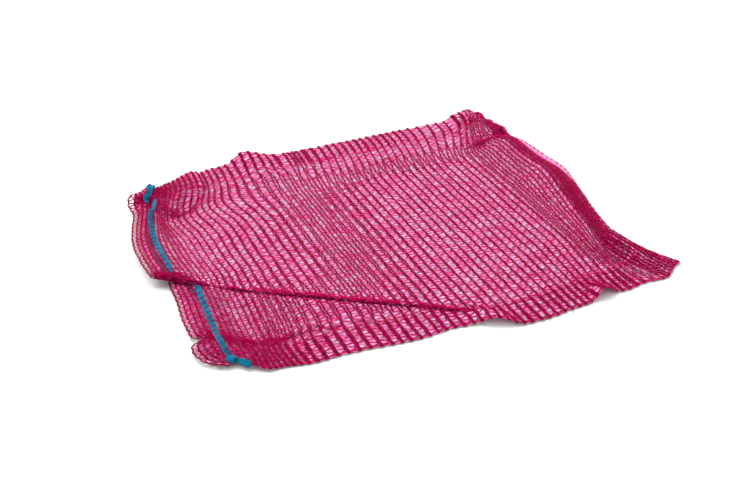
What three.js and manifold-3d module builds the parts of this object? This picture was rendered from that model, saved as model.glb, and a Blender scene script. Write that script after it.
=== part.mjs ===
// A raschel net bag, empty and laid flat: one net sheet folded over at +X and sewn down both
// sides, with a flat drawstring tape run through its mouth at -X. Millimetres, +Z up.
import * as THREE from 'three';
import { mergeVertices } from 'three/addons/utils/BufferGeometryUtils.js';
import Module from 'manifold-3d';

// Driving dimensions of the laid bag
const LIP = -236;
const FOLD = 230;
const NEAR = -212;
const FAR = 195;
const NET_THICK = 3.2;
const LIES_FLAT = 0.05;
const CENTRE = { x: (LIP + FOLD) / 2, y: (NEAR + FAR) / 2 };

// Drawstring tape
const STRING = -214;
const TAPE_WIDTH = 4.3;
const TAPE_THICK = 0.8;
const TAPE_GAP = 1.3;
const TAPE_STAGGER = 3;
const NECK_LIFT = 2.5;
const LOOP_REACH = 13;
const KNOT = { radius: 2.6, tube: 1.3, flatten: 0.8, reach: 8, ends: 1 };
const TAIL = { length: 15, drop: 10 };

// Mesh of the net: columns along the bag, rows across it, both closer at the pleated corner
const COLUMNS = 54;
const ROWS = 42;
const CLOSENESS = 0.22;

// The mouth is gathered on its string and bows with it
const GATHER = { far: 40, near: 28, slack: 4, farEnd: -105, nearEnd: -150, slackEnd: 40 };
const BOW = { far: 24, middle: -4, near: -10, end: -90 };
const NOTCH = { depth: 12, width: 13 };
const LIP_CORNER = { depth: 14, end: -208 };

// Folds that stand up from the table
const PLEAT = {
  from: [-240, -18], to: [34, -204], bow: 8, uptake: 30, crest: 12, slack: 3, spread: 48, far: 34,
};
const ROLL = { at: 208, width: 22, height: 17, drawnIn: 17, middle: -125, reach: 62 };
const CORNER = { from: [214, 186], to: [238, 112], height: 14, left: 20, right: 24, taper: 1 };
const PEAK = { from: [-72, 200], to: [-62, 150], height: 12, left: 12, right: 22, taper: 0.3 };
const SHOULDER = { from: [-212, 172], to: [-150, 195], height: 10, left: 26, right: 34, taper: 1 };
const TIP = { depth: 26, start: 180, end: 236 };
const EDGE_LIFTS = [
  { at: 8, width: 18, height: 7, reach: 40 },
  { at: 139, width: 9, height: 6, reach: 26 },
];

const NET_COLOUR = '#b8225f';
const TAPE_COLOUR = '#12728f';

function smooth(from, to, value) {
  return THREE.MathUtils.smoothstep(value, from, to);
}

function bell(value, middle, width) {
  return Math.exp(-(((value - middle) / width) ** 2));
}

// Height of a ridge that runs between two points, with its own width on either hand
function ridge(x, y, { from, to, height, left, right, taper }) {
  const way = new THREE.Vector2(to[0] - from[0], to[1] - from[1]);
  const length = way.length();
  way.divideScalar(length);
  const along = (x - from[0]) * way.x + (y - from[1]) * way.y;
  const leftward = (y - from[1]) * way.x - (x - from[0]) * way.y;
  const past = Math.max(-along, along - length, 0);
  const size = 1 + (taper - 1) * THREE.MathUtils.clamp(along / length, 0, 1);
  const fall = bell(leftward, 0, leftward > 0 ? left : right) * bell(past, 0, (left + right) / 2);
  return height * size * fall;
}

// The near and far sides of the bag at a place along it, before the pleat takes up net
function sides(x) {
  const far = FAR - GATHER.far * (1 - smooth(STRING, GATHER.farEnd, x));
  const gather = GATHER.near * (1 - smooth(STRING - 12, GATHER.nearEnd, x))
    - GATHER.slack * (1 - smooth(0, GATHER.slackEnd, x));
  const corners = TIP.depth * smooth(TIP.start, TIP.end, x)
    + LIP_CORNER.depth * (1 - smooth(LIP, LIP_CORNER.end, x));
  const notch = NOTCH.depth * bell(x, STRING, NOTCH.width);
  return { near: NEAR + gather + corners + notch, far };
}

// How far the net is drawn along the pleat's side, and how high it stands, at a place in plan
function pleat(x, y) {
  const from = new THREE.Vector2(...PLEAT.from);
  const way = new THREE.Vector2(...PLEAT.to).sub(from);
  const length = way.length();
  way.divideScalar(length);
  const side = new THREE.Vector2(way.y, -way.x);
  const place = new THREE.Vector2(x, y).sub(from);
  const run = place.dot(way) / length;
  const share = THREE.MathUtils.clamp(run, 0, 1);
  const across = place.dot(side) - PLEAT.bow * 4 * share * (1 - share);
  const fade = 1 - smooth(0.88, 1.04, run);
  const lead = PLEAT.spread / 8;
  const taken = -PLEAT.uptake * fade * smooth(-lead, PLEAT.spread - lead, across);
  const fall = across < 0 ? bell(across, 0, PLEAT.far) : 1 - smooth(0, PLEAT.spread - lead, across);
  return { move: side.multiplyScalar(taken), height: (PLEAT.crest - PLEAT.slack * share) * fade * fall };
}

// Underside of the net at x along the flat bag and v across it, from 0 at the near side to 1
function underside(x, v) {
  const { near, far } = sides(x);
  const flatY = THREE.MathUtils.lerp(NEAR, FAR, v);
  const y = THREE.MathUtils.lerp(near, far, v);
  const bow = BOW.far * smooth(20, 150, y) ** 1.5 + BOW.middle * smooth(20, 60, -y)
    + BOW.near * smooth(60, 184, -y);
  const rolled = bell(flatY, ROLL.middle, ROLL.reach);
  const drawnX = x + bow * (1 - smooth(STRING, BOW.end, x)) - ROLL.drawnIn * rolled * smooth(150, FOLD, x);
  const { move, height } = pleat(drawnX, y);
  const rollPart = smooth(NEAR + 8, NEAR + 66, flatY) * (1 - smooth(90, 150, flatY));
  const roll = ROLL.height * bell(x, ROLL.at - 10 * rolled, ROLL.width) * rollPart;
  const raised = [CORNER, PEAK, SHOULDER].reduce((sum, fold) => sum + ridge(x, flatY, fold), 0);
  const lifted = EDGE_LIFTS.reduce(
    (sum, { at, width, height: top, reach }) => (
      sum + top * bell(x, at, width) * (1 - smooth(NEAR, NEAR + reach, flatY))
    ),
    0,
  );
  const neck = NECK_LIFT * (1 - smooth(STRING + 9, STRING + 34, x));
  return new THREE.Vector3(
    drawnX + move.x - CENTRE.x,
    y + move.y - CENTRE.y,
    Math.max(height + roll + raised + lifted + neck - LIES_FLAT, 0),
  );
}

// Rows or columns lie closer together at the start of their run
function closer(share) {
  return share * (1 - CLOSENESS + CLOSENESS * share);
}

function netGeometry() {
  const geometry = new THREE.BoxGeometry(1, 1, 1, COLUMNS, ROWS, 1);
  const position = geometry.attributes.position;
  for (let i = 0; i < position.count; i += 1) {
    const x = THREE.MathUtils.lerp(LIP, FOLD, closer(position.getX(i) + 0.5));
    const v = closer(position.getY(i) + 0.5);
    const place = underside(x, v);
    if (position.getZ(i) > 0) {
      place.z += NET_THICK;
    }
    position.setXYZ(i, place.x, place.y, place.z);
  }
  geometry.computeVertexNormals();
  return geometry;
}

// A place on the net's upper (+1) or lower (-1) face, with the way out of that face
function faceOf(x, v, face) {
  const step = 2;
  const alongX = underside(x + step, v).sub(underside(x - step, v));
  const alongV = underside(x, v + step / 400).sub(underside(x, v - step / 400));
  const out = alongX.cross(alongV).normalize().multiplyScalar(face);
  const place = underside(x, v);
  if (face > 0) {
    place.z += NET_THICK;
  }
  return { place, out };
}

// The tape's run over one face of the neck, at the same rows as the net
function tapeRun(face) {
  const run = [];
  const rest = TAPE_GAP + TAPE_THICK / 2;
  for (let row = 0; row <= ROWS; row += 1) {
    const { place, out } = faceOf(STRING + TAPE_STAGGER * face, closer(row / ROWS), face);
    run.push({ place: place.addScaledVector(out, rest), out });
  }
  return run;
}

// A half turn of tape round the edge of the net, from one run's end to the next run's start
function tapeTurn(start, end, reach) {
  const middle = start.place.clone().add(end.place).multiplyScalar(0.5);
  const half = start.place.clone().sub(end.place).multiplyScalar(0.5);
  const turn = [];
  const steps = 8;
  for (let i = 1; i < steps; i += 1) {
    const angle = (Math.PI * i) / steps;
    const out = half.clone().normalize().multiplyScalar(Math.cos(angle));
    out.y += Math.sign(reach) * Math.sin(angle);
    const place = middle.clone().addScaledVector(half, Math.cos(angle));
    place.y += reach * Math.sin(angle) ** 0.6;
    turn.push({ place, out: out.normalize() });
  }
  return turn;
}

// A flat tape along a list of places, each with the way out of the tape's face
function tapeGeometry(stations) {
  const geometry = new THREE.BoxGeometry(1, 1, 1, stations.length - 1, 1, 1);
  const position = geometry.attributes.position;
  for (let i = 0; i < position.count; i += 1) {
    const index = Math.round((position.getX(i) + 0.5) * (stations.length - 1));
    const { place, out } = stations[index];
    const before = stations[Math.max(index - 1, 0)].place;
    const after = stations[Math.min(index + 1, stations.length - 1)].place;
    const wide = out.clone().cross(after.clone().sub(before)).normalize();
    const corner = place.clone()
      .addScaledVector(wide, position.getY(i) * TAPE_WIDTH)
      .addScaledVector(out, position.getZ(i) * TAPE_THICK);
    position.setXYZ(i, corner.x, corner.y, corner.z);
  }
  return geometry;
}

function knotGeometry(place) {
  const geometry = new THREE.TorusKnotGeometry(KNOT.radius, KNOT.tube, 48, 8, 2, 3);
  geometry.scale(1, 1, KNOT.flatten);
  return geometry.translate(place.x, place.y, place.z);
}

function tailGeometry(place) {
  const stations = [];
  const steps = 6;
  for (let i = 0; i <= steps; i += 1) {
    const share = i / steps;
    stations.push({
      place: new THREE.Vector3(
        place.x + TAIL.length * share,
        place.y - TAIL.drop * share,
        THREE.MathUtils.lerp(place.z, TAPE_THICK, share),
      ),
      out: new THREE.Vector3(0, 0, 1),
    });
  }
  return tapeGeometry(stations);
}

const wasm = await Module();
wasm.setup();

function toSolid(geometry) {
  geometry.deleteAttribute('normal');
  geometry.deleteAttribute('uv');
  const merged = mergeVertices(geometry, 1e-4);
  return new wasm.Manifold(new wasm.Mesh({
    numProp: 3,
    vertProperties: new Float32Array(merged.attributes.position.array),
    triVerts: new Uint32Array(merged.index.array),
  }));
}

function toGeometry(solid) {
  const { vertProperties, triVerts } = solid.getMesh();
  const geometry = new THREE.BufferGeometry();
  geometry.setAttribute('position', new THREE.BufferAttribute(vertProperties, 3));
  geometry.setIndex(new THREE.BufferAttribute(triVerts, 1));
  geometry.computeVertexNormals();
  return geometry;
}

function drawstringGeometry() {
  const upper = tapeRun(1);
  const lower = tapeRun(-1).reverse();
  const knotPlace = upper[0].place.clone().add(lower.at(-1).place).multiplyScalar(0.5);
  knotPlace.y -= KNOT.reach;
  const intoKnot = (out) => ({ place: knotPlace.clone().addScaledVector(out, KNOT.ends), out });
  const ring = [
    intoKnot(upper[0].out),
    ...upper,
    ...tapeTurn(upper.at(-1), lower[0], LOOP_REACH),
    ...lower,
    intoKnot(lower.at(-1).out),
  ];
  const pieces = [tapeGeometry(ring), knotGeometry(knotPlace), tailGeometry(knotPlace)];
  return toGeometry(pieces.map(toSolid).reduce((whole, piece) => whole.add(piece)));
}

function namedMesh(name, geometry, colour, roughness) {
  const material = new THREE.MeshStandardMaterial({ color: colour, roughness, metalness: 0 });
  const mesh = new THREE.Mesh(geometry, material);
  mesh.name = name;
  return mesh;
}

const bag = new THREE.Group();
bag.add(namedMesh('net_bag', netGeometry(), NET_COLOUR, 0.55));
bag.add(namedMesh('drawstring', drawstringGeometry(), TAPE_COLOUR, 0.5));

export default bag;
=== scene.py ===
"""Dresses the raschel net bag: two knitted layers, sewn sides, a drawstring tape and a white studio.

The net is laid by the same folds as the solids: a place on it is x along the flat bag, in millimetres,
and v across it, from 0 at the near side to 1 at the far side.
"""

import logging
import math
from dataclasses import dataclass, field
from enum import Enum

import bpy
import numpy as np
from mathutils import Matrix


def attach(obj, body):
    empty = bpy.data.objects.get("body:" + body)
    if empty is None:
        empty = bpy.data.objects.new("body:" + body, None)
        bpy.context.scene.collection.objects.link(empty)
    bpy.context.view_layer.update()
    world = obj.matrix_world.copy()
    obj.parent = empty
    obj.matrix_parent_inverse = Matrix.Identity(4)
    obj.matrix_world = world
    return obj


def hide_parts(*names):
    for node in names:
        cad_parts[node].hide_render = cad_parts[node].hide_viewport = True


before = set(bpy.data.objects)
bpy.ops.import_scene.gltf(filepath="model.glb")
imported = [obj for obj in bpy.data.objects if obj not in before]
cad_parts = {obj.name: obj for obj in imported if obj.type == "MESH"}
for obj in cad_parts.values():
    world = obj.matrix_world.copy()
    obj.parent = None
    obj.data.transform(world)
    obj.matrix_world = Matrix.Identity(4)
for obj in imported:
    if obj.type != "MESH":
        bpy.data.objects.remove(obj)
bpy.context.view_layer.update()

MM = 0.001
TABLE_GAP_MM = 0.05
TURN = 2 * np.pi
UP = np.array([0, 0, 1])
Array = np.ndarray
Piece = bpy.types.Object
Material = bpy.types.Material
Tree = bpy.types.NodeTree
Socket = bpy.types.NodeSocket
Pair = tuple[float, float]
Triple = tuple[float, float, float]
log = logging.getLogger("net bag")


def smooth(low: float, high: float, value: Array) -> Array:
    """Ease from 0 at low to 1 at high."""
    share = np.clip((value - low) / (high - low), 0, 1)
    return share * share * (3 - 2 * share)


def fade(low: float, high: float, value: Array) -> Array:
    """Ease from 1 at low to 0 at high."""
    return 1 - smooth(low, high, value)


def window(rise: Pair, fall: Pair, value: Array) -> Array:
    """Ease from 0 to 1 over the rise, and back to 0 over the fall."""
    return smooth(*rise, value) * fade(*fall, value)


def bell(value: Array, middle: float, width: float) -> Array:
    """A bump of height 1 round a middle, which falls to about a third at its width."""
    return np.exp(-(((value - middle) / width) ** 2))


def bumps(value: Array, rows: tuple[Triple, ...]) -> Array:
    """Add up bumps, each given by its height, middle and width."""
    return sum(height * bell(value, middle, width) for height, middle, width in rows)


def unit(vectors: Array) -> Array:
    """Vectors of length 1 along the given ones."""
    return vectors / np.maximum(np.linalg.norm(vectors, axis=-1, keepdims=True), 1e-9)


def paired(x: Array, v: Array) -> tuple[Array, ...]:
    """Places along and across the bag, brought to one shape."""
    return tuple(np.broadcast_arrays(np.asarray(x, float), np.asarray(v, float)))


@dataclass(frozen=True)
class Ridge:
    """A ridge of raised net between two places on the flat bag, in millimetres."""

    start: Pair
    end: Pair
    height: float
    left: float
    right: float
    taper: float = 1

    def rise(self, x: Array, y: Array) -> Array:
        """Height of the ridge.

        Args:
            x: Places along the flat bag.
            y: Places across the flat bag.

        Returns:
            How far the net is raised at each place.
        """
        length = math.dist(self.start, self.end)
        way = np.subtract(self.end, self.start) / length
        off_x, off_y = x - self.start[0], y - self.start[1]
        along = off_x * way[0] + off_y * way[1]
        leftward = off_y * way[0] - off_x * way[1]
        past = np.maximum(np.maximum(-along, along - length), 0)
        size = 1 + (self.taper - 1) * np.clip(along / length, 0, 1)
        width = np.where(leftward > 0, self.left, self.right)
        ends = bell(past, 0, (self.left + self.right) / 2)
        return self.height * size * bell(leftward, 0, width) * ends


@dataclass(frozen=True)
class Cap:
    """A round patch of raised net with a sharp crease round it, in millimetres of the flat bag."""

    middle: Pair
    reach: float
    height: float
    slope: float
    squash: float = 1

    def rise(self, x: Array, y: Array) -> Array:
        """How far the net is raised at each place on the flat bag."""
        inside = self.reach - np.hypot(x - self.middle[0], (y - self.middle[1]) * self.squash)
        return self.height * (1 - np.exp(-np.maximum(inside, 0) / self.slope))


@dataclass(frozen=True)
class Crumple:
    """A crumpled patch of net, in millimetres: waves that cross at three angles and fade outwards."""

    middle: Pair
    reach: float
    height: float
    wave: float
    stretch: float = 0.37
    angles_deg: tuple[float, ...] = (8, 74, 131)

    def rise(self, x: Array, y: Array) -> Array:
        """Height of the crumples.

        Args:
            x: Places along the flat bag.
            y: Places across the flat bag.

        Returns:
            How far the net is raised at each place, never below where it lies.
        """
        total = 0
        for number, angle in enumerate(np.radians(self.angles_deg)):
            along = x * np.cos(angle) + y * np.sin(angle)
            total = total + np.sin(TURN * along / (self.wave * (1 + self.stretch * number)) + number)
        near = bell(np.hypot(x - self.middle[0], y - self.middle[1]), 0, self.reach)
        return self.height * near * (1 + total / len(self.angles_deg))


@dataclass(frozen=True)
class Pinch:
    """A place that the net is bunched up towards, in millimetres of the laid bag's plan."""

    middle: Pair
    reach: float
    pull: float

    def draw(self, x: Array, y: Array) -> tuple[Array, Array]:
        """Draw places in towards the middle.

        Args:
            x: Places along the bag, in plan.
            y: Places across the bag, in plan.

        Returns:
            The places after the pull.
        """
        off_x, off_y = x - self.middle[0], y - self.middle[1]
        keep = 1 - self.pull * bell(np.hypot(off_x, off_y), 0, self.reach)
        return self.middle[0] + off_x * keep, self.middle[1] + off_y * keep


@dataclass(frozen=True)
class Pleat:
    """The diagonal pleat from the mouth to the near side, where the net folds over itself."""

    start: Pair = (-240, -9.5)
    end: Pair = (34, -204)
    run_out: Pair = (0.88, 1.04)
    bow: float = -1
    uptake: float = 30
    uptake_loss: float = 0.22
    crest: float = 8.5
    laid_crest: float = 2.2
    laid_share: float = 0.14
    turn_room: float = 1.4
    spread: float = 13
    far: float = 52

    @property
    def way(self) -> Array:
        """Unit vector along the pleat, in plan."""
        return unit(np.subtract(self.end, self.start))

    def measure(self, x: Array, y: Array) -> tuple[Array, Array, Array]:
        """Where places are from the pleat's crest.

        Args:
            x: Places along the bag, in plan.
            y: Places across the bag, in plan.

        Returns:
            The share of the way along the pleat, how far past its crest each place is, and how full the
            pleat is there.
        """
        way = self.way
        off_x, off_y = x - self.start[0], y - self.start[1]
        run = (off_x * way[0] + off_y * way[1]) / math.dist(self.start, self.end)
        share = np.clip(run, 0, 1)
        across = off_x * way[1] - off_y * way[0] - self.bow * 4 * share * (1 - share)
        return share, across, fade(*self.run_out, run)

    def bunched(self, x: Array, y: Array) -> Array:
        """How far the net is creased together at each place in plan, from 0 to 1."""
        _, across, full = self.measure(x, y)
        return full * window((-5, -1), (self.spread, self.spread + 6), across)

    def tight(self, x: Array, y: Array) -> Array:
        """How far the two layers are pressed together at each place in plan, from 0 to 1."""
        _, across, full = self.measure(x, y)
        return full * window((-26, -6), (self.spread + 14, self.spread + 30), across)

    def fold(self, x: Array, y: Array) -> tuple[Array, Array, Array]:
        """Take up net along the pleat.

        Args:
            x: Places along the bag, in plan.
            y: Places across the bag, in plan.

        Returns:
            How far each place moves along x and y, and how high it stands.
        """
        way = self.way
        share, across, full = self.measure(x, y)
        over = (smooth(0, self.spread, across) + np.clip(across / self.spread, 0, 1)) / 2
        taken = -self.uptake * (1 - self.uptake_loss * share) * full * over
        height = self.laid_crest + (self.crest - self.laid_crest) * bell(share, 0, self.laid_share)
        height = height * np.where(across < 0, bell(across, 0, self.far), 1 - over)
        height = height + self.turn_room * 4 * over * (1 - over)
        return taken * way[1], -taken * way[0], height * full


@dataclass(frozen=True)
class Drape:
    """How the empty bag lies: its gathered mouth, its pleat and its raised folds, in millimetres.

    The waves of an edge are bumps with a height, a middle and a width. A bunch is a crushed place with
    its reach, where the film is painted darker: painted shade, and the deeper colour of bunched film.
    An edge lift is a rise of the near side with its place, width, height and reach.
    """

    lip: float = -236
    fold: float = 230
    near: float = -212
    far: float = 195
    string: float = -214
    gather_far: float = 40
    gather_near: float = 28
    slack: float = 4
    lip_corner: float = 3
    tip: float = 21
    bunch: float = 0.25
    bow_far: float = 24
    bow_dip: float = 2
    bow_middle: float = -4
    bow_near: float = -10
    ear_round: float = 15
    ear_slip: float = 5
    hem_corner: float = 6
    hem_edge: float = 9
    tuck_in: float = 14
    tuck_down: float = 3
    frill: float = 5
    mouth_pull: float = 13
    body_pull: float = 9
    roll_height: float = 17
    roll_width: float = 22
    roll_far: float = 208
    roll_near: float = 219
    neck_lift: float = 2.5
    pleat: Pleat = Pleat()
    forms: tuple[Ridge | Cap | Crumple, ...] = (
        Ridge((214, 190), (228, 140), 4, 16, 22),
        Ridge((184, 119), (224, 121), 3.2, 16, 6),
        Ridge((229, 172), (229, 166), 3.5, 7, 7),
        Ridge((230, 120), (228, 113), 4, 6, 6),
        Ridge((-72, 200), (-62, 150), 14, 24, 13, 0.3),
        Ridge((-240, 176), (-226, 192), 8, 14, 14),
        Cap((-178, 196), 47, 10.5, 12, 0.56),
        Cap((236, 166), 56, 7, 8),
        Crumple((224, 160), 28, 2.6, 13),
        Crumple((-216, 178), 26, 2, 11),
        Crumple((-206, -186), 34, 0.7, 11),
        Crumple((0, 0), 400, 0.35, 46),
    )
    pinches: tuple[Pinch, ...] = (
        Pinch((214, 160), 28, 0.42),
        Pinch((-192, 142), 25, 0.5),
        Pinch((-196, -182), 28, 0.28),
    )
    # Crushed places whose film is painted darker, as painted shade in the bunched net and its deeper
    # colour.
    shaded_bunches: tuple[Triple, ...] = (
        (-228, 176, 10), (-200, 164, 20), (-214, -150, 13), (228, 136, 11),
    )
    edge_lifts: tuple[tuple[float, float, float, float], ...] = (
        (8, 18, 7, 40), (126, 9, 10, 26),
    )
    near_waves: tuple[Triple, ...] = (
        (12, -214, 13), (7, -132, 38), (-8, -196, 16), (-4, 45, 30),
        (5, 175, 18), (2.5, -40, 14), (-1.8, 97, 14), (-4, 206, 14),
        (3, 136, 16), (-2.5, 70, 14), (1.4, -166, 25),
    )
    hem_waves: tuple[Triple, ...] = (
        (4.5, 80, 50), (-9, -158, 34), (-29, -125, 80), (3.5, 0, 24),
        (-1.5, 75, 30), (-2, 45, 35), (2.2, -78, 38), (-3, -158, 18),
    )
    lip_waves: tuple[Triple, ...] = (
        (11, -146, 4.5), (-4, -168, 18), (-7.5, 168, 20), (-3, -100, 36),
    )

    @property
    def width(self) -> float:
        """Width of the flat bag."""
        return self.far - self.near

    @property
    def length(self) -> float:
        """Length of the flat bag."""
        return self.fold - self.lip

    def flat_y(self, v: Array) -> Array:
        """Places across the flat bag."""
        return self.near + v * self.width

    def sides(self, x: Array) -> tuple[Array, Array]:
        """The near and far sides of the bag before the pleat takes up net.

        Args:
            x: Places along the flat bag.

        Returns:
            The near and the far side's y at each place.
        """
        far = self.far - self.gather_far * fade(self.string, -105, x)
        near = self.near + self.gather_near * fade(self.string - 12, -150, x)
        near = near - self.slack * fade(0, 40, x) + self.tip * smooth(180, 236, x)
        return near + self.lip_corner * fade(self.lip, -208, x) + bumps(x, self.near_waves), far

    def seam(self, x: Array) -> Array:
        """Share of the way across where the near side is sewn, further in at the gathered mouth."""
        return 0.084 + 0.045 * fade(-182, -145, x) + 0.028 * bell(x, -196, 14)

    def at_fold(self, x: Array) -> Array:
        """How near to the folded edge places are, from 0 to 1."""
        return smooth(self.fold - self.hem_edge, self.fold, x)

    def tucked(self, x: Array, flat_y: Array) -> Array:
        """How far the folded edge is turned under, from 0 to 1."""
        return (bell(flat_y, -112, 52) + 0.4 * smooth(98, 122, flat_y)) * self.at_fold(x)

    def plan(self, x: Array, v: Array) -> tuple[Array, Array]:
        """Places of the laid net in plan, before the pleat takes up net.

        Args:
            x: Places along the flat bag.
            v: Shares of the way across it.

        Returns:
            The places along and across the laid bag.
        """
        near, far = self.sides(x)
        flat_y = self.flat_y(v)
        gathered = self.bunch * fade(self.string, -120, x)
        y = near + (v - gathered * np.sin(TURN * v) / TURN) * (far - near)
        # The mouth bows in and out, the hem waves, and the lip's two corners are rounded like ears.
        bow = self.bow_far * smooth(20, 150, y) ** 1.5 - self.bow_dip * bell(y, 4, 30)
        bow = bow + self.bow_middle * smooth(20, 60, -y) + self.bow_near * smooth(60, 184, -y)
        hem = bumps(flat_y, self.hem_waves) + self.hem_corner * fade(self.near, self.near + 30, flat_y)
        ear = bumps(flat_y, self.lip_waves)
        ear = ear + self.ear_round * fade(self.near, self.near + 34, flat_y) ** 1.5
        at_lip = fade(self.lip, self.string - 3, x)
        y = y - self.ear_slip * bell(flat_y, -196, 16) * at_lip
        plan_x = x + bow * fade(self.string, -90, x) + hem * smooth(150, self.fold, x) + ear * at_lip
        plan_x = plan_x - self.tuck_in * self.tucked(x, flat_y)
        # The net is pulled to the mouth along the far side's crease, and to the fold past the peak.
        pulled = bell(v, 0.8, 0.085) * window((-214, -185), (-125, -50), x)
        slid = smooth(0.75, 1, v) * window((-80, 20), (150, 200), x)
        plan_x = plan_x - self.mouth_pull * pulled + self.body_pull * slid
        for pinch in self.pinches:
            plan_x, y = pinch.draw(plan_x, y)
        return plan_x, y

    def bunched(self, x: Array, v: Array) -> tuple[Array, Array]:
        """How far the net is creased, which narrows its film and paints shade on it, and crushed, which
        paints it darker: painted shade, and the deeper colour of bunched film.

        Args:
            x: Places along the flat bag.
            v: Shares of the way across it.

        Returns:
            The two shares at each place, from 0 to 1.
        """
        x, v = paired(x, v)
        flat_y = self.flat_y(v)
        crushed = np.zeros(x.shape)
        for at_x, at_y, reach in self.shaded_bunches:
            crushed = np.maximum(crushed, bell(np.hypot(x - at_x, flat_y - at_y), 0, reach))
        return self.pleat.bunched(*self.plan(x, v)), crushed

    def underside(self, x: Array, v: Array) -> Array:
        """Places on the underside of the laid net, in the part's frame.

        Args:
            x: Places along the flat bag.
            v: Shares of the way across it.

        Returns:
            A point for each place, in millimetres.
        """
        x, v = paired(x, v)
        flat_y = self.flat_y(v)
        plan_x, y = self.plan(x, v)
        move_x, move_y, z = self.pleat.fold(plan_x, y)
        rolled = window((self.near + 4, self.near + 58), (82, 135), flat_y)
        crest = self.roll_far + (self.roll_near - self.roll_far) * fade(-70, 20, flat_y)
        z = z + self.roll_height * bell(x, crest, self.roll_width) * rolled
        z = z + sum(form.rise(x, flat_y) for form in self.forms)
        for at, width, height, reach in self.edge_lifts:
            z = z + height * bell(x, at, width) * fade(self.near, self.near + reach, flat_y)
        z = z + self.neck_lift * fade(self.string + 9, self.string + 34, x)
        z = z - self.tuck_down * self.tucked(x, flat_y)
        z = z + self.frill * self.at_fold(x) * bell(flat_y, 30, 60)
        middle_x, middle_y = (self.lip + self.fold) / 2, (self.near + self.far) / 2
        return np.stack([plan_x + move_x - middle_x, y + move_y - middle_y, z], axis=-1)

    def outward(self, x: Array, v: Array) -> Array:
        """The way out of the upper face of the net.

        Args:
            x: Places along the flat bag.
            v: Shares of the way across it.

        Returns:
            A unit vector for each place.
        """
        step = 2
        along = self.underside(x + step, v) - self.underside(x - step, v)
        across = self.underside(x, v + step / self.width) - self.underside(x, v - step / self.width)
        return unit(np.cross(along, across))

    def place(self, x: Array, v: Array, height: Array) -> tuple[Array, Array]:
        """Points at a height over the underside of the net, and the way out of the net at each."""
        out = self.outward(x, v)
        return self.underside(x, v) + out * np.asarray(height, float)[..., None], out


def srgb(code: str) -> tuple[float, float, float, float]:
    """Turn an sRGB hex colour to linear light.

    Args:
        code: Six hex digits.

    Returns:
        Red, green, blue and alpha.
    """
    parts = [int(code[i:i + 2], 16) / 255 for i in (0, 2, 4)]
    linear = [c / 12.92 if c <= 0.04045 else ((c + 0.055) / 1.055) ** 2.4 for c in parts]
    return (*linear, 1)


def settle(tree: Tree, node: bpy.types.Node, settings: dict) -> None:
    """Set a node up.

    Args:
        tree: The material's node tree.
        node: The node.
        settings: Sockets to link from and plain values, by input name or number, or by property name.
            The stops of a colour ramp are sRGB colours by their places, in rising order.
    """
    for name, value in settings.items():
        if isinstance(value, Socket):
            tree.links.new(value, node.inputs[name])
        elif isinstance(name, int) or name in node.inputs:
            node.inputs[name].default_value = value
        elif name == "stops":
            elements = node.color_ramp.elements
            for place in list(value)[1:-1]:
                elements.new(place)
            for element, (place, code) in zip(elements, value.items()):
                element.position = place
                element.color = srgb(code)
        else:
            setattr(node, name, value)


def add_node(tree: Tree, kind: str, settings: dict, output: int | str = 0) -> Socket:
    """Add a node.

    Args:
        tree: The material's node tree.
        kind: The node's type name, without its first words.
        settings: What the node is set up with.
        output: Name or number of the output that is wanted.

    Returns:
        That output.
    """
    node = tree.nodes.new("ShaderNode" + kind)
    settle(tree, node, settings)
    return node.outputs[output]


def new_material(name: str) -> tuple[Material, Tree, bpy.types.Node]:
    """Start a material.

    Args:
        name: Its name.

    Returns:
        The material, its node tree and its shader.
    """
    made = bpy.data.materials.new(name)
    made.use_nodes = True
    return made, made.node_tree, made.node_tree.nodes["Principled BSDF"]


# Each thread's marks: its tone, which also carries painted light and painted shade, its length so far in
# millimetres, and its width from -1 to 1.
MARKS = ("tone", "along", "aside")


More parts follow.
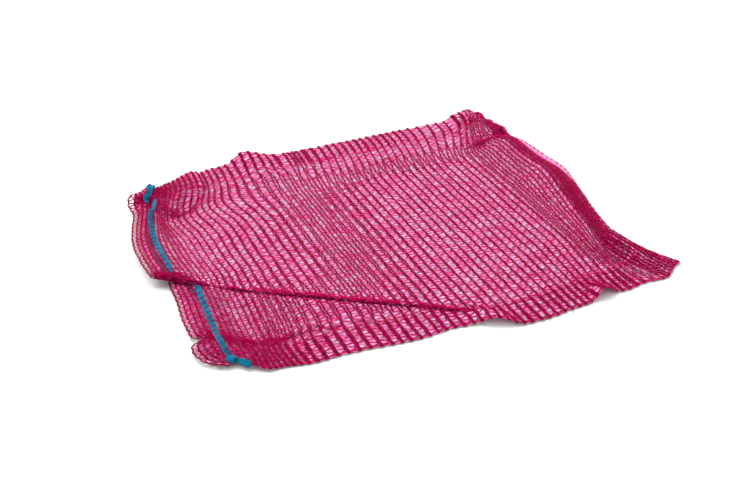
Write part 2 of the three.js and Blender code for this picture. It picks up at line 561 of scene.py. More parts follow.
@dataclass(frozen=True)
class KnitFinish:
    """Knitted polyethylene slit film: satin, lit through, and deeper in colour where it is bunched,
    where its tone also carries painted shade; paler where its tone carries painted light.
    """

    name: str
    glow: float
    specular: float
    deep: str
    middle: str
    bright: str
    pale: str
    roughness: float = 0.32
    glow_mm: float = 1.2
    glow_colour: Triple = (1, 0.4, 0.6)
    line_mm: float = 7
    lines: float = 4
    patch_mm: float = 9
    line_depth_mm: float = 0.04
    streak_tone: float = 0.35
    streak_satin: float = 0.2

    def material(self) -> Material:
        """Make the material.

        Returns:
            A material whose tone follows each thread's own attribute.
        """
        made, tree, shader = new_material(self.name)
        tone, along, aside = (
            add_node(tree, "Attribute", {"attribute_name": mark}, "Fac") for mark in MARKS)
        place = add_node(tree, "TexCoord", {}, "Object")
        # Draw lines run along each film, so that the eye sees a plastic stretched in its own length.
        run = add_node(tree, "Math", {"operation": "MULTIPLY", 0: along, 1: 1 / self.line_mm})
        lie = add_node(tree, "Math", {"operation": "MULTIPLY", 0: aside, 1: self.lines})
        drawn = add_node(tree, "CombineXYZ", {"X": run, "Y": lie})
        patch = (1 / (self.patch_mm * MM),) * 3
        spot = add_node(tree, "VectorMath", {"operation": "MULTIPLY_ADD", 0: place, 1: patch, 2: drawn})
        streak = add_node(tree, "TexNoise", {"Vector": spot, "Scale": 1, "Detail": 2}, "Fac")
        # Thin film is pale and bunched film crimson. The tone comes with each thread and also holds
        # painted shade in creases and painted light in the pale lower film; streaks vary it.
        toned = {"operation": "MULTIPLY_ADD", 0: streak, 1: self.streak_tone, 2: tone}
        blend = add_node(tree, "Math", toned)
        stops = {0.1: self.deep, 0.45: self.middle, 0.75: self.bright, 1: self.pale}
        colour = add_node(tree, "ValToRGB", {"Fac": blend, "stops": stops})
        # The lines also break the shine, so that it reads as satin and not as gloss.
        satin = {"operation": "MULTIPLY_ADD", 0: streak, 1: self.streak_satin, 2: self.roughness}
        depth = self.line_depth_mm * MM
        ribs = add_node(tree, "Bump", {"Strength": 0.5, "Distance": depth, "Height": streak})
        # Light passes into the thin plastic and comes out pink, which keeps its shadows from going grey.
        settle(tree, shader, {
            "Base Color": colour, "Roughness": add_node(tree, "Math", satin),
            "Normal": ribs, "IOR": 1.5, "Specular IOR Level": self.specular,
            "Subsurface Weight": self.glow, "Subsurface Radius": self.glow_colour,
            "Subsurface Scale": self.glow_mm * MM,
        })
        return made


@dataclass(frozen=True)
class TapeFinish:
    """Flat woven polypropylene tape: satin, with small crossing threads.

    Real threads are about 0.45 mm wide. They are drawn twice as coarse, so that they still show at the
    size of the picture.
    """

    name: str = "woven_polypropylene_tape"
    deep: str = "003248"
    bright: str = "01607C"
    roughness: float = 0.42
    specular: float = 0.03
    half_width_mm: float = 2.8
    thread_mm: float = 0.9
    thread_depth_mm: float = 0.08
    cloud_mm: float = 16
    weave_tone: float = 0.1
    weave_satin: float = 0.08

    def material(self) -> Material:
        """Make the material.

        Returns:
            A material with threads along and across the tape's own map.
        """
        made, tree, shader = new_material(self.name)
        place = add_node(tree, "TexCoord", {}, "Object")
        scale = 1 / (self.cloud_mm * MM)
        cloud = add_node(tree, "TexNoise", {"Vector": place, "Scale": scale, "Detail": 3}, "Fac")
        # Threads that cross make the tape look woven, and not like a strip cut from a sheet.
        waves = []
        for mark, size in (("along", 1), ("aside", self.half_width_mm)):
            far = add_node(tree, "Attribute", {"attribute_name": mark}, "Fac")
            pace = math.pi * size / self.thread_mm
            turn = add_node(tree, "Math", {"operation": "MULTIPLY", 0: far, 1: pace})
            waves.append(add_node(tree, "Math", {"operation": "SINE", 0: turn}))
        weave = add_node(tree, "Math", {"operation": "MULTIPLY", 0: waves[0], 1: waves[1]})
        # Slow clouds of lighter and darker blue show where the tape is rubbed.
        rubbed = {"operation": "MULTIPLY_ADD", 0: weave, 1: self.weave_tone, 2: cloud}
        blend = add_node(tree, "Math", rubbed)
        stops = {0.3: self.deep, 0.7: self.bright}
        colour = add_node(tree, "ValToRGB", {"Fac": blend, "stops": stops})
        satin = {"operation": "MULTIPLY_ADD", 0: weave, 1: self.weave_satin, 2: self.roughness}
        depth = self.thread_depth_mm * MM
        ribs = add_node(tree, "Bump", {"Strength": 0.5, "Distance": depth, "Height": weave})
        settle(tree, shader, {
            "Base Color": colour, "Roughness": add_node(tree, "Math", satin),
            "Normal": ribs, "Specular IOR Level": self.specular,
        })
        return made


@dataclass(frozen=True)
class PaperFinish:
    """Plain white studio paper: matt and almost even."""

    name: str = "white_studio_paper"
    shade: str = "B8B8B8"
    white: str = "BBBBBB"
    roughness: float = 0.92
    grain_mm: float = 2.5
    grain_depth_mm: float = 0.02
    grain_matt: float = 0.05

    def material(self) -> Material:
        """Make the material.

        Returns:
            A matt white material with a faint grain.
        """
        made, tree, shader = new_material(self.name)
        place = add_node(tree, "TexCoord", {}, "Object")
        # The grain is too faint to see as a pattern. It only keeps the white from looking empty.
        scale = 1 / (self.grain_mm * MM)
        grain = add_node(tree, "TexNoise", {"Vector": place, "Scale": scale, "Detail": 2}, "Fac")
        stops = {0: self.shade, 1: self.white}
        colour = add_node(tree, "ValToRGB", {"Fac": grain, "stops": stops})
        matt = {"operation": "MULTIPLY_ADD", 0: grain, 1: self.grain_matt, 2: self.roughness}
        depth = self.grain_depth_mm * MM
        tooth = add_node(tree, "Bump", {"Strength": 0.2, "Distance": depth, "Height": grain})
        settle(tree, shader, {
            "Base Color": colour, "Roughness": add_node(tree, "Math", matt),
            "Normal": tooth, "Specular IOR Level": 0,
        })
        return made


FILM_PROFILE = np.array([(1, 0), (0, 1), (-1, 0), (0, -1)])
TAPE_PROFILE = np.array([
    (1, -0.45), (1, 0.45), (0.84, 1), (0.3, 0.94), (-0.3, 0.94), (-0.84, 1),
    (-1, 0.45), (-1, -0.45), (-0.84, -1), (-0.3, -0.94), (0.3, -0.94), (0.84, -1),
])


@dataclass
class ThreadMesh:
    """Flat threads gathered into one mesh, each a closed tube with its own length and width as a map."""

    profile: Array = field(default_factory=lambda: FILM_PROFILE)
    points: list[Array] = field(default_factory=list)
    quads: list[Array] = field(default_factory=list)
    marks: dict[str, list[Array]] = field(default_factory=lambda: {mark: [] for mark in MARKS})
    count: int = 0

    def add(self, paths: Array, outs: Array, half_width: Array, half_thick: Array,
            twist: Array = 0, tone: Array = 0.5) -> None:
        """Add one thread along each path.

        Args:
            paths: Points of each thread, in millimetres, as threads by points by 3.
            outs: The way out of the net at each point.
            half_width: Half the thread's width at each point.
            half_thick: Half its thickness at each point.
            twist: How far it is turned about its own length, in radians.
            tone: Its place between the deep and the bright colour.
        """
        threads, steps = paths.shape[:2]
        sides = len(self.profile)
        half_width, half_thick, twist, tone = (
            np.broadcast_to(np.asarray(value, float), (threads, steps))[..., None]
            for value in (half_width, half_thick, twist, tone))
        way = unit(np.gradient(paths, axis=1))
        side = unit(np.cross(way, outs))
        up = np.cross(side, way)
        wide = (side * np.cos(twist) + up * np.sin(twist)) * half_width
        tall = (up * np.cos(twist) - side * np.sin(twist)) * half_thick
        ring = wide[:, :, None] * self.profile[:, :1] + tall[:, :, None] * self.profile[:, 1:]
        first = self.count + np.arange(threads)[:, None, None] * steps * sides
        self.points.append((paths[:, :, None] + ring).reshape(-1, 3))
        self.quads.append((first + self.tube_quads(steps)[None]).reshape(-1, 4))
        stretch = np.linalg.norm(np.diff(paths, axis=1), axis=-1)
        along = np.concatenate([np.zeros((threads, 1)), np.cumsum(stretch, axis=1)], axis=1)
        self.marks["tone"].append(np.repeat(tone.reshape(-1), sides))
        self.marks["along"].append(np.repeat(along.reshape(-1), sides))
        self.marks["aside"].append(np.tile(self.profile[:, 0], threads * steps))
        self.count += threads * steps * sides

    def tube_quads(self, steps: int) -> Array:
        """Faces of one closed tube.

        Args:
            steps: How many rings it has.

        Returns:
            Four point numbers for each face.
        """
        sides = len(self.profile)
        ring = np.arange(sides)
        after = (ring + 1) % sides
        rows = np.arange(steps - 1)[:, None] * sides
        walls = np.stack([rows + ring, rows + sides + ring, rows + sides + after, rows + after], axis=-1)
        half = np.arange(sides // 2 - 1)
        start = np.stack([half, half + 1, sides - 2 - half, sides - 1 - half], axis=-1)
        return np.concatenate([walls.reshape(-1, 4), start, start[:, ::-1] + (steps - 1) * sides])

    def piece(self, name: str, material: Material, slot: str) -> Piece:
        """Make the mesh.

        Args:
            name: Name of the piece.
            material: Its finish.
            slot: The record's slot for that finish. It is not used.

        Returns:
            The new piece, which rides on the bag.
        """
        points = np.concatenate(self.points) * MM
        points[:, 2] = np.maximum(points[:, 2], TABLE_GAP_MM * MM)
        quads = np.concatenate(self.quads)
        mesh = bpy.data.meshes.new(name)
        mesh.vertices.add(len(points))
        mesh.vertices.foreach_set("co", points.astype(np.float32).ravel())
        mesh.loops.add(quads.size)
        mesh.loops.foreach_set("vertex_index", quads.astype(np.int32).ravel())
        mesh.polygons.add(len(quads))
        mesh.polygons.foreach_set("loop_start", np.arange(0, quads.size, 4, dtype=np.int32))
        mesh.polygons.foreach_set("use_smooth", np.ones(len(quads), dtype=bool))
        for mark, values in self.marks.items():
            layer = mesh.attributes.new(mark, "FLOAT", "POINT")
            layer.data.foreach_set("value", np.concatenate(values).astype(np.float32))
        mesh.update()
        mesh.validate()
        mesh.materials.append(material)
        made = bpy.data.objects.new(name, mesh)
        bpy.context.collection.objects.link(made)
        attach(made, "root")
        return made


@dataclass(frozen=True)
class Weave:
    """How a layer's film is laid: half widths from least to most, and tones as a base and a spread."""

    half_widths: Pair
    half_ends: float
    tones: Pair
    steepness: float
    course_shift: float
    twist: float
    sag: float
    chain_rise: float
    cover: float


class Face(Enum):
    """The two layers of the laid bag: narrow deep rungs above, and wide film below painted pale, as
    painted light shining through the net, which fills the gaps where the floor would lie in shade.
    """

    UPPER = Weave(
        half_widths=(0.7, 1), half_ends=0.4, tones=(0, 0.15), steepness=1.45, course_shift=0,
        twist=0.3, sag=0.15, chain_rise=0, cover=0.3)
    # The lower film's pale tones are painted light, standing for light let through the net onto the
    # floor in its gaps.
    LOWER = Weave(
        half_widths=(2.5, 3), half_ends=2.6, tones=(0.42, 0.45), steepness=2, course_shift=1.12,
        twist=0.05, sag=0.08, chain_rise=0.3, cover=1)


# One looped stitch: its places along the bag in millimetres, across it in courses, and its height.
STITCH_LOOP = np.array([
    (-0.2, -0.06, -0.2), (-0.45, 0.45, 0.05), (-0.38, 0.97, 0.28),
    (0.38, 0.97, 0.28), (0.45, 0.45, 0.05), (0.2, -0.06, -0.2),
])


@dataclass
class NetLayer:
    """One layer of the net: chains of stitches across the bag, and a zigzag tape between each two."""

    face: Face
    drape: Drape
    yarn: Material
    film: Material
    seed: int
    mouth_pitch: float = 4.4
    body_pitch: float = 8.75
    hem_pitch: float = 2.2
    hem_strip: float = 8
    course: float = 4.6
    cuts: int = 4
    slip: Pair = (-115, 32)
    near_slip: float = 0.36
    sway: float = 0.2
    sway_rates: Triple = (3.1, 7.3, 12.7)
    lean: float = 22
    corner_fan: float = 3.5
    corner_give: float = 16
    far_push: float = 30
    seam: float = 0.09
    string_strip: int = 3
    middle: float = 1.6
    gap: float = 0.45
    least_gap: float = 0.25
    chain_half: Pair = (0.45, 0.3)
    hem_half: Pair = (0.42, 0.3)
    loop_half: Pair = (0.5, 0.26)
    film_half_thick: float = 0.14
    thread_half: float = 0.65

    def __post_init__(self) -> None:
        """Settle the layer's random draws, its count of courses and its weave."""
        self.random = np.random.default_rng(self.seed)
        self.courses = round(self.drape.width / self.course)
        self.weave: Weave = self.face.value

    def named(self, part: str) -> str:
        """Name of one of the layer's pieces."""
        return f"{self.face.name.lower()}_{part}"

    def height(self, x: Array, v: Array) -> Array:
        """How far the layer lies over the underside. The layers are closer at the seams and the hem.

        Args:
            x: Places along the flat bag.
            v: Shares of the way across it.

        Returns:
            The height at each place, in millimetres.
        """
        x, v = paired(x, v)
        apart = self.gap * smooth(0, 0.03, v) * smooth(0, 0.03, 1 - v)
        apart = apart * (1 - 0.8 * self.drape.pleat.tight(*self.drape.plan(x, v)))
        apart = self.least_gap + apart * (1 - 0.7 * self.drape.at_fold(x))
        return self.middle + (apart if self.face is Face.UPPER else -apart)

    def pitch(self, x: float) -> float:
        """Distance between chains, closer at the mouth and at the hem."""
        wider = self.mouth_pitch + (self.body_pitch - self.mouth_pitch) * smooth(-215, -130, x)
        return float(wider - (self.body_pitch - self.hem_pitch) * smooth(195, 209, x))

    def chain_places(self) -> Array:
        """Where the chains lie along the flat bag.

        Returns:
            A place for each chain, from the mouth to the hem.
        """
        places = [self.drape.lip - 0.2]
        last = self.drape.fold - self.hem_strip
        while places[-1] + self.pitch(places[-1]) < last + 1.5:
            places.append(places[-1] + self.pitch(places[-1]))
        places = np.array(places)
        places[-3:] += (last - places[-1]) * np.array([0.25, 0.5, 1])
        return np.append(places, self.drape.fold)

    def chain_x(self, v: Array) -> Array:
        """Where each chain runs.

        Args:
            v: Shares of the way across the bag.

        Returns:
            The place along the bag of each chain at each share, as chains by shares.
        """
        places = self.chain_places()
        number = np.arange(len(places), dtype=float)
        draws = np.random.default_rng(self.seed + 1)
        turns = draws.uniform(0, TURN, (len(self.sway_rates), len(places), 1))
        waves = sum(np.sin(TURN * v * rate + turn) for rate, turn in zip(self.sway_rates, turns))
        start = places[:, None]
        sway = self.sway * waves * (0.4 + 0.6 * smooth(-215, -150, start))
        sway = sway + self.lean * (v - 0.5) * window((-190, -130), (165, 215), start)
        if self.face is Face.UPPER:
            slid = self.body_pitch * smooth(0.7, 0.91, v) * window((-70, 10), (150, 185), start)
            return self.cornered(start + slid + sway, v)[1:]
        # The lower layer slips by up to one chain against the upper, so the two nets make a pattern.
        slip = smooth(*self.slip, start)
        sewn = np.round(slip)
        loose = window((self.seam, self.seam + 0.05), (0.95 - self.seam, 1 - self.seam), v)
        pleated = self.near_slip * window((-200, -170), (-60, 20), start)
        pleated = pleated * (1 - 0.45 * smooth(0.3, 0.42, v))
        moved = number[:, None] + sewn + (slip - sewn + pleated) * loose
        moved = moved - 0.5 * smooth(140, 180, start) * smooth(0.08, 0.2, v)
        kept = moved.max(axis=1) < number[-1] - 0.4
        chains = (np.interp(moved, number, places) + sway)[kept]
        return self.cornered(np.concatenate([chains, places[-1] + sway[-1:] - 0.4]), v)

    def cornered(self, x: Array, v: Array) -> Array:
        """Spread the hem's chains at the near corner, and run them on to the edge at the far one.

        Args:
            x: Where each chain would run.
            v: Shares of the way across the bag.

        Returns:
            Where each runs.
        """
        # At the near corner the last chains fan out, and those before them give way towards the mouth.
        spread = self.corner_fan * window((208, 222), (222, 230), x)
        spread = spread - self.corner_give * window((70, 200), (198, 224), x)
        x = x + spread * fade(0.03, 0.28, v)
        pushed = x + self.far_push * np.clip((v - 0.77) / 0.23, 0, 1) * smooth(115, 185, x)
        edge = self.drape.fold - 0.3 * np.arange(len(x))[::-1, None]
        return np.minimum(pushed, np.maximum(edge, x))

    def stitches(self, x: Array, v: Array, rise: float) -> tuple[Array, Array, Array]:
        """Shape one looped stitch at each place.

        Args:
            x: Places along the flat bag.
            v: Shares of the way across it, where each stitch starts.
            rise: How far the stitches lie above the layer.

        Returns:
            The points of each stitch, the way out of the net there, and each stitch's tone.
        """
        shape = (x.size, 1)
        spread = self.random.uniform(0.8, 1.2, shape)
        lean = self.random.normal(0, 0.08, shape)
        lift = self.random.normal(0, 0.08, shape)
        tone = np.clip(self.random.normal(0.1, 0.12, shape), 0, 1)
        spread = spread * self.slim(x, v).reshape(shape)
        lean = lean + 0.3 * spread * np.cos(np.pi * self.courses * v).reshape(shape)
        stitch_x = x.reshape(shape) + STITCH_LOOP[:, 0] * spread + lean
        stitch_v = v.reshape(shape) + STITCH_LOOP[:, 1] / self.courses
        height = self.height(stitch_x, stitch_v) + STITCH_LOOP[:, 2] + lift + rise
        points, outs = self.drape.place(stitch_x, stitch_v, height)
        return points, outs, np.broadcast_to(tone, stitch_x.shape)

    def slim(self, x: Array, v: Array) -> Array:
        """How wide the threads lie, less at the mouth and at the hem's far corner."""
        mouth = 1 - 0.28 * fade(-205, -120, x) * smooth(-236, -233, x)
        return mouth * (1 - 0.3 * smooth(180, 200, x) * smooth(0.8, 0.88, v))

    def chains(self, name: str, part: slice) -> Piece:
        """Knit the chains of stitches.

        Args:
            name: Name of the piece.
            part: Which of the layer's chains it holds.

        Returns:
            The piece.
        """
        start = np.arange(self.courses) / self.courses
        x = self.chain_x(start + 0.5 / self.courses)[part]
        points, outs, tone = self.stitches(x, np.broadcast_to(start, x.shape), self.weave.chain_rise)
        threads = ThreadMesh()
        half_width = self.chain_half[0] * self.slim(x, start).reshape(-1, 1)
        threads.add(points, outs, half_width, self.chain_half[1], tone=tone)
        return threads.piece(name, self.yarn, "net")

    def hem_chains(self) -> Piece:
        """Knit the doubled chains of the turned-in sides.

        Returns:
            The piece.
        """
        start = np.arange(self.courses) / self.courses
        x = self.chain_x(start + 0.5 / self.courses)
        v = np.broadcast_to(start, x.shape)
        near_side = (v < self.drape.seam(x) - 0.01) & (x < 175)
        far_side = (v > 1 - self.seam) & (x < 205)
        kept = (near_side | far_side) & (x > self.drape.string + 12)
        x, v = x[kept], v[kept]
        threads = ThreadMesh()
        for aside in (-0.75, 0.75):
            slant = aside * (1 + 0.25 * np.sin(40 * v + 2 * aside))
            points, outs, tone = self.stitches(x + slant, v, 0.1)
            threads.add(points, outs, *self.hem_half, tone=tone)
        return threads.piece(self.named("hem_chains"), self.yarn, "net")

    def weft(self) -> list[Piece]:
        """Lay the zigzag tapes between neighbouring chains, and the yarn over and under the drawstring.

        Returns:
            The piece with the tapes, and the piece with the yarn in the drawstring's strip.
        """
        weave = self.weave
        steps = np.arange(self.courses * self.cuts + 1) / self.cuts
        v = steps / self.courses
        chains = self.chain_x(v)
        beat = (steps + weave.course_shift) % 2
        swing = np.where(beat < 1, beat, 2 - beat)
        swing = np.clip((swing - 0.5) * weave.steepness + 0.5, 0, 1)
        crossing = np.sin(np.pi * swing)
        rung = np.floor(steps + weave.course_shift).astype(int)
        shape = (len(chains) - 1, rung.max() + 1)
        twist = self.random.normal(0, weave.twist, shape)[:, rung] * crossing
        width = self.random.uniform(*weave.half_widths, shape)[:, rung]
        tone = weave.tones[0] + weave.tones[1] * self.random.beta(2, 2.4, shape)[:, rung]
        sag = self.random.normal(0, weave.sag, shape)[:, rung] * crossing
        string = self.string_strip
        sag[string] = np.where(rung % 2 == 0, 0.75 + 0.6 * crossing, -0.75 * crossing ** 0.5)
        x = chains[:-1] + (chains[1:] - chains[:-1]) * swing
        points, outs = self.drape.place(x, v[None], self.height(x, v[None]) + sag)
        width = weave.half_ends + (width - weave.half_ends) * crossing
        width, tone = self.worn(x, v, width, tone)
        films, yarns = ThreadMesh(), ThreadMesh()
        film = np.arange(len(x)) != string
        thick = self.film_half_thick
        films.add(points[film], outs[film], width[film], thick, twist[film], tone[film])
        if self.face is Face.LOWER:
            laid, laid_out = self.drape.place(x[string], v, self.height(x[string], v))
            cover = 0.3 + (width[string] - 0.3) * fade(0.32, 0.38, v)
            films.add(laid[None], laid_out[None], cover[None], thick, tone=tone[string][None])
        yarns.add(points[~film], outs[~film], *self.loop_half, tone=-0.3)
        return [
            films.piece(self.named("weft"), self.film, "net"),
            yarns.piece(self.named("string_loops"), self.yarn, "net"),
        ]

    def worn(self, x: Array, v: Array, width: Array, tone: Array) -> tuple[Array, Array]:
        """Narrow the film at the open lip and in folds, and paint shade on it where it is creased or
        crushed.

        Args:
            x: Places along the flat bag, as strips by shares.
            v: Shares of the way across it.
            width: Half the film's width at each place.
            tone: Its tone at each place.

        Returns:
            The half widths and the tones.
        """
        creased, crushed = self.drape.bunched(x, v[None])
        spread = 1 - fade(-232, -221, x) * window((0.44, 0.5), (0.84, 0.9), v)
        if self.face is Face.LOWER:
            # The wide film keeps off the sides, the crease, the open lip and the fold.
            spread = spread * smooth(0, 0.012, v) * smooth(0, 0.012, 1 - v) * (1 - 0.6 * creased)
            spread = spread * (1 - fade(-237, -228, x) * smooth(0.4, 0.46, v))
            spread = spread * (1 - 0.6 * smooth(222, 230, x))
            spread[0] = 0
            # Where the pale film narrows it is painted darker, and its painted light fades.
            tone = tone * (0.3 + 0.7 * spread)
        thread = self.thread_half
        width = np.where(width > thread, thread + (width - thread) * spread, width)
        # Painted shade darkens the film in the pleat's crease and in crushed places, together with the
        # deeper colour of bunched film.
        tone = tone * (1 - 0.3 * creased) * (1 - 0.55 * crushed)
        # The film is also darker along the near half of the lip.
        tone = tone * (1 - 0.2 * fade(-222, -212, x) * fade(0.42, 0.48, v))
        # The strip along the fold is one wide film, which is painted paler where it stands up, as
        # painted light shining through it.
        width[-1] = np.maximum(width[-1], 1.5)
        tone[-1] = np.maximum(tone[-1], 0.55 * window((0.3, 0.5), (0.74, 0.79), v))
        return width, tone

    def string_x(self) -> float:
        """Where the drawstring's strip lies along the flat bag."""
        return float(self.chain_x(np.array([0.5]))[self.string_strip:self.string_strip + 2].mean())

    def build(self) -> list[Piece]:
        """Knit the whole layer.

        Returns:
            Its pieces, the weft first.
        """
        half = len(self.chain_x(np.array([0.5]))) // 2
        return [
            *self.weft(),
            self.chains(self.named("chains_mouth"), slice(None, half)),
            self.chains(self.named("chains_bottom"), slice(half, None)),
            self.hem_chains(),
        ]


@dataclass(frozen=True)
class Tangle:
    """A crushed place of the net, where threads lie across each other, in millimetres."""

    start: Pair
    end: Pair
    reach: float
    count: int
    fade: float = 0
    tone: float = 0

    def threads(self, layer: NetLayer, random: np.random.Generator) -> tuple[Array, Array]:
        """Lay crossing threads along the crushed place.

        Args:
            layer: The layer that they lie on.
            random: Where the draws come from.

        Returns:
            The points of each thread and the way out of the net there.
        """
        column = (self.count, 1)
        share = random.random(column) ** (1 + self.fade)
        middle = np.array(self.start) * (1 - share) + np.array(self.end) * share
        middle = middle + random.normal(0, self.reach, (self.count, 2))
        way = np.subtract(self.end, self.start)
        angle = np.arctan2(way[1], way[0]) + random.normal(0, 0.7, column)
        length = random.uniform(6, 13, column)
        curl = random.normal(0, 0.5, column)
        step = np.linspace(-0.5, 0.5, 6)
        turn = angle + curl * step
        drape = layer.drape
        x = np.maximum(middle[:, :1] + length * step * np.cos(turn), drape.lip + 1)
        y = middle[:, 1:] + length * step * np.sin(turn)
        v = np.clip((y - drape.near) / drape.width, 0, 1)
        lift = random.uniform(0, 0.9, column) * np.cos(np.pi * step)
        return drape.place(x, v, layer.height(x, v) + 0.2 + lift)


# One sewn loop: its places along the seam in stitches, across it in millimetres, and its height.
SEWN_LOOP = np.array([
    (-0.1, -0.5, 0), (0.4, -0.95, 0.5), (1, -0.7, 0.8), (1, 0.7, 0.8), (0.4, 0.95, 0.5), (-0.1, 0.5, 0),
])


@dataclass
class SideSeams:
    """The sewn sides: looped thread along each, frayed ends of chains, and threads of crushed net."""

    layer: NetLayer
    seed: int = 41
    stitch: float = 5
    sewing_half: Pair = (0.26, 0.22)
    tangle_half: Pair = (0.36, 0.24)
    ends_each: int = 3
    long_share: float = 0.035
    longest: float = 8
    tangles: tuple[Tangle, ...] = (
        Tangle((-234, 168), (-220, 190), 6, 30),
        Tangle((-212, 156), (-192, 178), 7, 32),
        Tangle((-205, 150), (-178, 118), 3.5, 26),
        Tangle((-178, 118), (-150, 118), 2.5, 30, 0.4),
        Tangle((-222, -146), (-206, -158), 5, 45),
        Tangle((-216, -162), (-195, -148), 2.2, 45),
        Tangle((-195, -148), (-170, -160), 2.2, 40),
        Tangle((-170, -160), (-90, -178), 2, 35, 0.8),
        Tangle((-234, -8), (-200, -23), 2.2, 100),
        Tangle((-228, -18), (-216, -22), 2, 50),
        # Along the pleat's crest the threads are painted lighter: painted light that lifts the shade
        # under the fold.
        Tangle((-199.5, -21.5), (-159, -53), 1.4, 44, tone=0.25),
        Tangle((-159, -53), (-118, -93), 1.4, 50, tone=0.35),
        Tangle((-118, -93), (-58, -132), 1.6, 90, tone=0.35),
        Tangle((-58, -132), (1.5, -174), 1.5, 65, tone=0.35),
        Tangle((229, 166), (229, 118), 3, 50),
        Tangle((180, 112), (224, 109), 2, 80),
    )

    def sewing(self) -> Piece:
        """Sew a chain of loops along both sides.

        Returns:
            The piece.
        """
        drape = self.layer.drape
        random = np.random.default_rng(self.seed)
        starts = np.arange(drape.string + 8, drape.fold - 8, self.stitch)[:, None]
        x = starts + SEWN_LOOP[:, 0] * self.stitch * 1.1
        threads = ThreadMesh()
        for seam in (drape.seam(x), 1 - self.layer.seam):
            wander = random.normal(0, 0.9, starts.shape)
            wide = random.uniform(0.6, 1.3, starts.shape)
            v = seam + (wander + SEWN_LOOP[:, 1] * wide) / drape.width
            lift = SEWN_LOOP[:, 2] * random.uniform(0.6, 1.5, starts.shape)
            points, outs = drape.place(x, v, self.layer.height(x, v) + lift)
            threads.add(points, outs, *self.sewing_half, tone=random.uniform(0.4, 1, starts.shape))
        return threads.piece("side_sewing", self.layer.yarn, "net")

    def frayed_ends(self) -> Piece:
        """Leave short cut ends at the chains along both sides, and a few long ones.

        Returns:
            The piece.
        """
        drape = self.layer.drape
        random = np.random.default_rng(self.seed + 1)
        threads = ThreadMesh()
        share = np.linspace(0, 1, 5)
        for side, out in ((0, -1), (1, 1)):
            x = np.repeat(self.layer.chain_x(np.array([side])), self.ends_each, axis=0)
            reach = random.gamma(2, 0.9, x.shape)
            reach[random.random(x.shape) < self.long_share] *= 4
            reach = np.minimum(reach, self.longest) * share
            way = random.normal(0, 0.7, x.shape)
            curl = random.normal(0, 0.5, x.shape)
            place_x = x + random.normal(0, 0.7, x.shape) + (way + curl * share) * reach
            place_v = side + out * (reach - 1.5) / drape.width
            rise = self.layer.height(place_x, side) + random.normal(0, 0.4, x.shape)
            points, outs = drape.place(place_x, place_v, np.maximum(rise, 0.5))
            tone = random.uniform(0, 0.4, x.shape)
            threads.add(points, outs, 0.34 - 0.16 * share, 0.2 - 0.08 * share, tone=tone)
        return threads.piece("frayed_ends", self.layer.yarn, "net")

    def tangled(self) -> Piece:
        """Lay the threads of the crushed places.

        Returns:
            The piece.
        """
        random = np.random.default_rng(self.seed + 2)
        threads = ThreadMesh()
        for tangle in self.tangles:
            points, outs = tangle.threads(self.layer, random)
            tone = tangle.tone + random.uniform(0, 0.6, (tangle.count, 1))
            threads.add(points, outs, *self.tangle_half, tone=tone)
        return threads.piece("bunched_threads", self.layer.yarn, "net")

    def build(self) -> list[Piece]:
        """Make the sewing, the frayed ends and the threads of crushed net."""
        return [self.sewing(), self.frayed_ends(), self.tangled()]


def eased_path(corners: Array, count: int) -> Array:
    """Run a smooth path through places.

    Args:
        corners: The places it goes by.
        count: How many points it gets.

    Returns:
        Points at even distances along the path.
    """
    for _ in range(4):
        quarter = corners[:-1] * 0.75 + corners[1:] * 0.25
        three = corners[:-1] * 0.25 + corners[1:] * 0.75
        middle = np.stack([quarter, three], axis=1).reshape(-1, 3)
        corners = np.concatenate([corners[:1], middle, corners[-1:]])
    far = np.concatenate([[0], np.cumsum(np.linalg.norm(np.diff(corners, axis=0), axis=1))])
    even = np.linspace(0, far[-1], count)
    return np.stack([np.interp(even, far, axis) for axis in corners.T], axis=1)


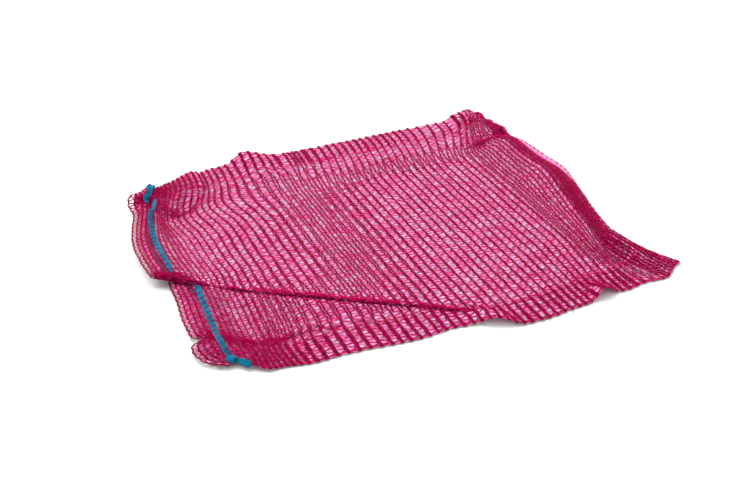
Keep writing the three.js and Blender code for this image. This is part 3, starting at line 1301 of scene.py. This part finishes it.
@dataclass
class Drawstring:
    """The flat tape in the mouth: a run in each layer, a far loop, a knot and a loose end."""

    upper: NetLayer
    lower: NetLayer
    finish: Material
    half_width: float = 2.8
    half_thick: float = 0.4
    rows: int = 150
    reach: Triple = (2, 3.5, 0.5)
    inner: float = -0.2
    tuck: Pair = (0.455, 0.035)
    tuck_share: float = 0.6
    kinks: tuple[Triple, ...] = (
        (8, 0.885, 0.02), (-6.5, 0.95, 0.022), (-2.5, 0.82, 0.04), (2.5, 0.61, 0.1), (2.5, 0.4, 0.05),
    )
    dips: tuple[Triple, ...] = ((-1.6, 0.465, 0.04), (-2, 0.912, 0.012))
    knot: Triple = (-208.5, -150.5, 6)
    knot_way: Triple = (0.8, -0.6, 0)
    knot_half: float = 2.6
    knot_round: Pair = (3.2, 2.7)
    knot_turns: float = 2.35
    wrap_half: Pair = (2, 0.55)
    tail: Triple = (-197.5, -163.5, 5.4)
    tail_facing: Triple = (-0.25, -0.6, 0.75)
    tail_half_thick: float = 0.6

    def runs(self) -> tuple[Array, Array, Array]:
        """Lay the tape from the knot through the upper layer, and back through the lower one.

        Returns:
            Its points, the way out of its flat side, and how far it is tucked under the pleat, at each.
        """
        drape = self.upper.drape
        v = np.linspace(0.004, 0.995, self.rows)
        upper_x = self.upper.string_x() + bumps(v, self.kinks) + 6 * smooth(0.96, 1, v)
        over = 0.25 + 1.5 * smooth(0.925, 0.95, v) + 0.5 * fade(0.1, 0.2, v) + bumps(v, self.dips)
        upper, upper_out = drape.place(upper_x, v, self.upper.height(upper_x, v) + over)
        facing = smooth(0.92, 0.95, v)[:, None]
        upper_out = unit(upper_out * (1 - facing) + np.array([0, -0.5, 0.87]) * facing)
        back = v[::-1]
        under = self.upper.string_x() - self.lower.string_x()
        lower_x = self.lower.string_x() + 5 * smooth(0.955, 1, back) + under * fade(0.3, 0.4, back)
        lower, lower_out = drape.place(lower_x, back, self.lower.height(lower_x, back) + self.inner)
        turn = np.linspace(0, np.pi, 11)[1:-1, None]
        middle = (upper[-1] + lower[0]) / 2
        arm = (upper[-1] - lower[0]) / 2
        loop = middle + arm * np.cos(turn) + np.array(self.reach) * np.sin(turn)
        loop_out = unit(upper_out[-1] * np.cos(turn) + np.array([0, 1, 0]) * np.sin(turn))
        tucked = np.concatenate([bell(v, *self.tuck), np.zeros(len(loop)), bell(back, *self.tuck)])
        outs = np.concatenate([upper_out, loop_out, -lower_out])
        return np.concatenate([upper, loop, lower]), outs, tucked

    def tape(self) -> Piece:
        """Make the tape, with its knot and its loose end.

        Returns:
            The piece.
        """
        threads = ThreadMesh(TAPE_PROFILE)
        path, outs, tucked = self.runs()
        knot, way = np.array(self.knot), np.array(self.knot_way)
        side = np.array([-way[1], way[0], 0])
        first = np.stack([knot + way * 2, knot - way * 2, knot - way * 5 + side, path[0]])
        last = np.stack([path[-1], knot - way * 5 - side, knot - way * 2, knot + way])
        enter, leave = eased_path(first, 16)[:-1], eased_path(last, 16)[1:]
        whole = np.concatenate([enter, path, leave])
        before, after = len(enter), len(leave)
        flat = np.concatenate([np.tile(UP, (before, 1)), outs, np.tile(-UP, (after, 1))])
        tucked = np.concatenate([np.zeros(before), tucked, np.zeros(after)])
        # The tape is drawn together at the knot and where it dips under the pleat.
        width = self.half_width * (0.55 + 0.45 * smooth(3, 9, np.linalg.norm(whole - knot, axis=1)))
        width = width * (1 - self.tuck_share * tucked)
        threads.add(whole[None], flat[None], width[None], self.half_thick)
        turn = np.linspace(0, self.knot_turns * TURN, 64)[:, None]
        share = np.linspace(-1, 1, 64)[:, None]
        ring = side * np.cos(turn) * self.knot_round[0] + UP * np.sin(turn) * self.knot_round[1]
        wrap = knot + way * share * self.knot_half + ring * (1 - 0.25 * share ** 2)
        threads.add(wrap[None], unit(ring)[None], *self.wrap_half)
        end = np.array(self.tail)
        bend = knot * 0.4 + end * 0.6 + side * 1.2
        loose = eased_path(np.stack([knot - way, knot + way * 3, bend, end]), 24)
        share = np.linspace(0, 1, len(loose))
        width = self.half_width * (0.55 + 0.5 * smooth(0.2, 0.55, share))
        width = width * (1 - 0.45 * smooth(0.93, 1, share))
        facing = np.broadcast_to(unit(np.array(self.tail_facing)), loose.shape)
        threads.add(loose[None], facing[None], width[None], self.tail_half_thick)
        return threads.piece("drawstring_tape", self.finish, "tape")

    def build(self) -> Piece:
        """Make the drawstring.

        Returns:
            The piece, which stands for the solid tape.
        """
        made = self.tape()
        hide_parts("drawstring")
        return made


@dataclass
class Studio:
    """A white paper floor, soft light all round and the camera of the picture."""

    width_px: int = 730
    focal_px: float = 1084
    eye_mm: Triple = (-427, -846.5, 533)
    turn_deg: float = 26
    tilt_deg: float = 30
    sensor_mm: float = 36
    floor_m: float = 8
    room_strength: float = 1.6
    softbox_m: Triple = (-0.5, 0.6, 1.7)
    softbox_size_m: float = 1.4
    softbox_watts: float = 48

    def build(self) -> None:
        """Lay the floor, hang the lights and set the camera."""
        bpy.ops.object.select_all(action="DESELECT")
        bpy.ops.mesh.primitive_plane_add(size=self.floor_m)
        floor = bpy.context.object
        floor.name = "floor"
        floor.data.materials.append(PaperFinish().material())
        scene = bpy.context.scene
        scene.view_settings.view_transform = "Standard"
        scene.world = scene.world or bpy.data.worlds.new("white room")
        scene.world.use_nodes = True
        room = scene.world.node_tree.nodes["Background"]
        room.inputs["Color"].default_value = (1, 1, 1, 1)
        room.inputs["Strength"].default_value = self.room_strength
        self.softbox("overhead")
        self.camera(scene)

    def softbox(self, name: str) -> None:
        """Hang a square light that faces the bag.

        Args:
            name: Name of the light.
        """
        light = bpy.data.lights.new(name, "AREA")
        light.size = self.softbox_size_m
        light.energy = self.softbox_watts
        lamp = bpy.data.objects.new(name, light)
        lamp.location = self.softbox_m
        x, y, z = self.softbox_m
        lamp.rotation_euler = (math.atan2(math.hypot(x, y), z), 0, math.atan2(x, -y))
        bpy.context.collection.objects.link(lamp)

    def camera(self, scene: bpy.types.Scene) -> None:
        """Set the camera where the picture was taken.

        Args:
            scene: The scene that gets the camera.
        """
        lens = bpy.data.cameras.new("camera")
        lens.sensor_width = self.sensor_mm
        lens.lens = self.focal_px / self.width_px * self.sensor_mm
        lens.clip_start = 0.01
        view = bpy.data.objects.new("camera", lens)
        view.location = [value * MM for value in self.eye_mm]
        view.rotation_euler = (math.radians(90 - self.tilt_deg), 0, -math.radians(self.turn_deg))
        bpy.context.collection.objects.link(view)
        scene.camera = view


def main() -> None:
    """Build the bag and its studio."""
    logging.basicConfig(level=logging.INFO, format="%(name)s: %(message)s")
    drape = Drape()
    yarn = KnitFinish(
        "knitted_polyethylene_yarn", glow=0.7, specular=0.02,
        deep="5E0022", middle="7C0030", bright="98003E", pale="AA0A4A")
    film = KnitFinish(
        "polyethylene_slit_film", glow=1, specular=0.04,
        deep="70002A", middle="B0104E", bright="FF7AB0", pale="FFACD4")
    finishes = (yarn.material(), film.material())
    upper = NetLayer(Face.UPPER, drape, *finishes, 11)
    lower = NetLayer(Face.LOWER, drape, *finishes, 23)
    upper_net = upper.build()
    lower_net = lower.build()
    upper_net += SideSeams(upper).build()
    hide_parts("net_bag")
    string = Drawstring(upper, lower, TapeFinish().material()).build()
    for piece in (*upper_net, *lower_net, string):
        log.info("%s: %d faces", piece.name, len(piece.data.polygons))
    Studio().build()


if __name__ == "__main__":
    main()
